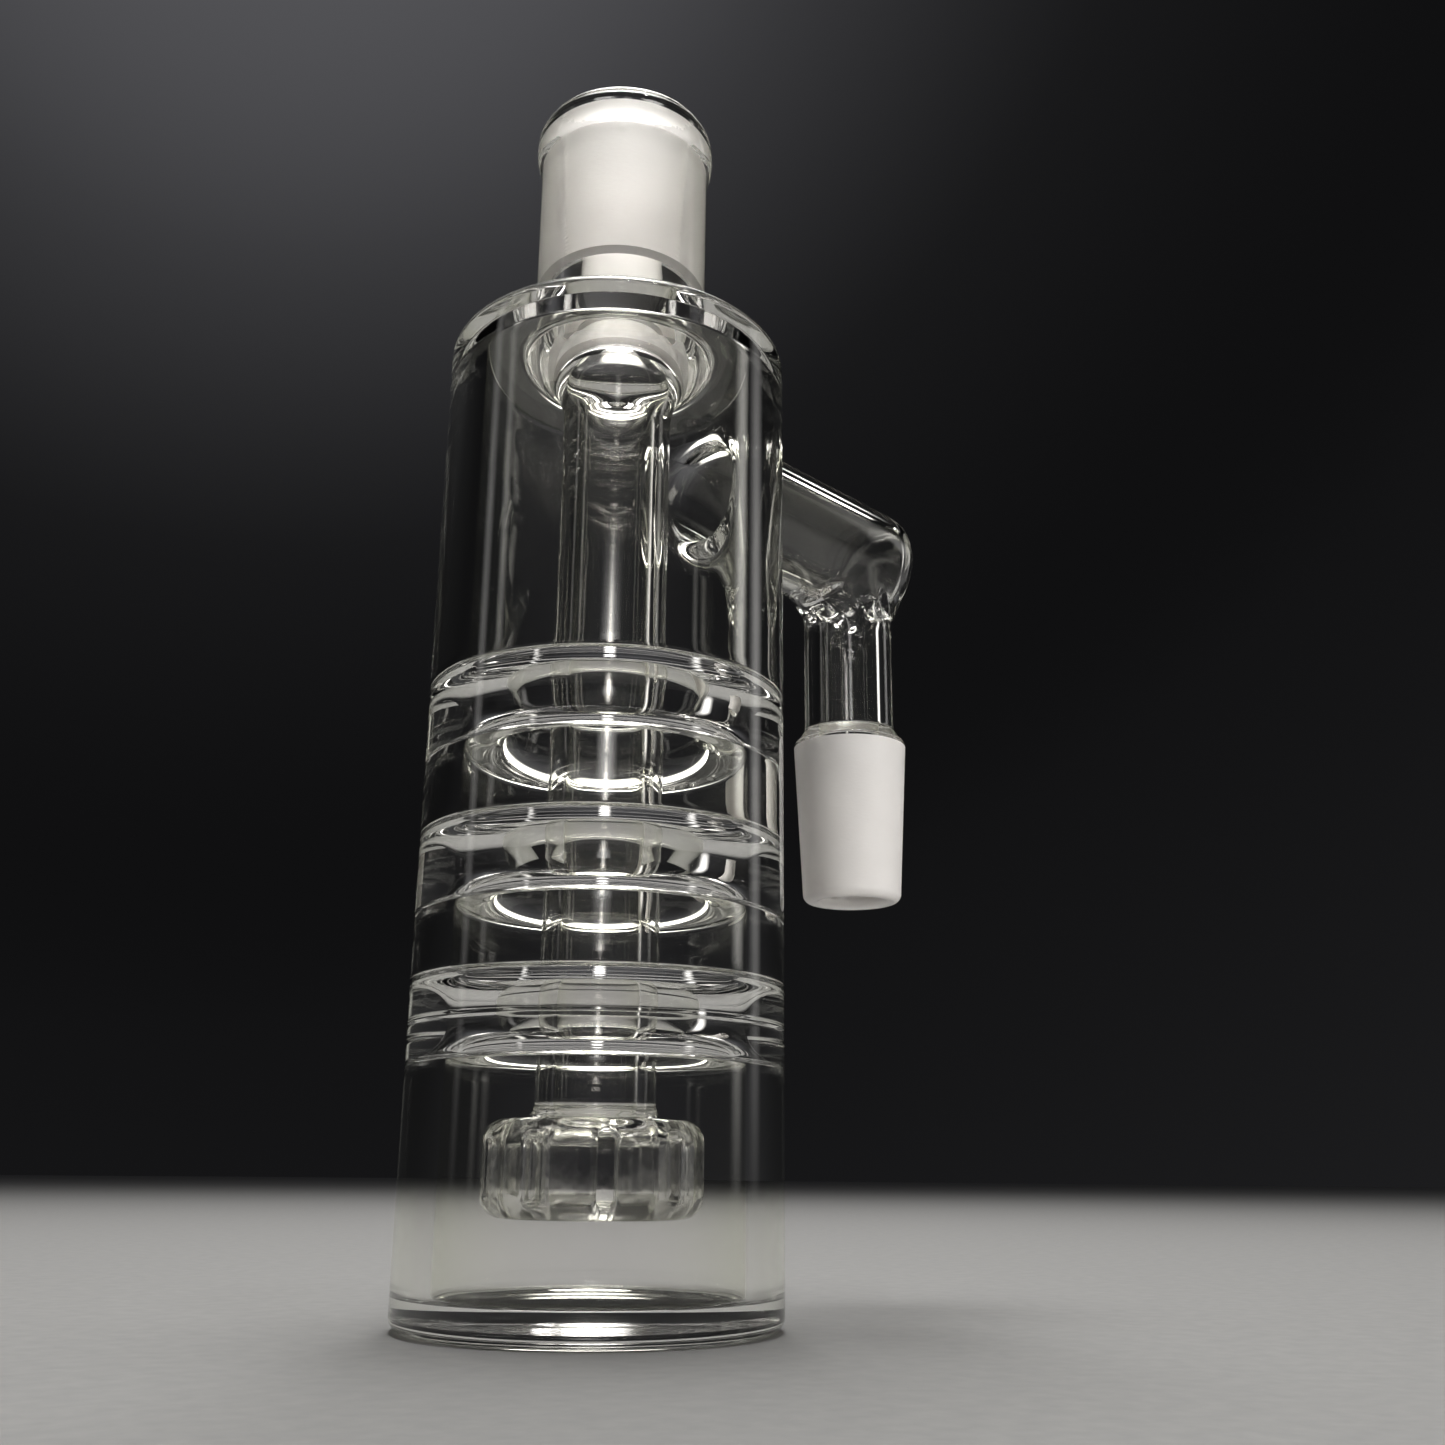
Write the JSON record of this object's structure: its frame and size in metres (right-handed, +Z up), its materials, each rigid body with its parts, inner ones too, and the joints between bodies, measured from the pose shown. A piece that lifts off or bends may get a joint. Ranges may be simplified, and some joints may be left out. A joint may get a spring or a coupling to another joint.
{
  "type": "glass bubbler adapter",
  "caption": "Upright heavy-wall glass bubbler with a slotted percolator under baffle rings, a ground socket on top and a side arm dropping to a ground cone.",
  "frame": {"origin": "centre of the foot's underside", "axes": "+Z up along the body and socket, +X along the side arm"},
  "size_m": [0.0903, 0.0504, 0.1788],
  "materials": {
    "clear_glass": "fire-polished",
    "ground_glass": "ground matt"
  },
  "bodies": {
    "root": {"foot_disc": "clear_glass", "lower_wall": "clear_glass", "baffle_lower": "clear_glass", "lower_spacer": "clear_glass", "baffle_middle": "clear_glass", "upper_spacer": "clear_glass", "baffle_upper": "clear_glass", "upper_wall": "clear_glass", "top_plate": "clear_glass", "socket_root_weld": "clear_glass", "socket": "ground_glass", "socket_lip": "clear_glass", "downtube_flare": "clear_glass", "downtube": "clear_glass", "percolator_collar": "clear_glass", "percolator_crown": "clear_glass", "percolator_skirt": "clear_glass", "percolator_floor": "clear_glass", "arm_root_weld": "clear_glass", "side_arm": "clear_glass", "side_arm_end": "clear_glass", "stem_root_weld": "clear_glass", "stem": "clear_glass", "cone_shoulder": "clear_glass", "cone_joint": "ground_glass"}
  },
  "joints": []
}
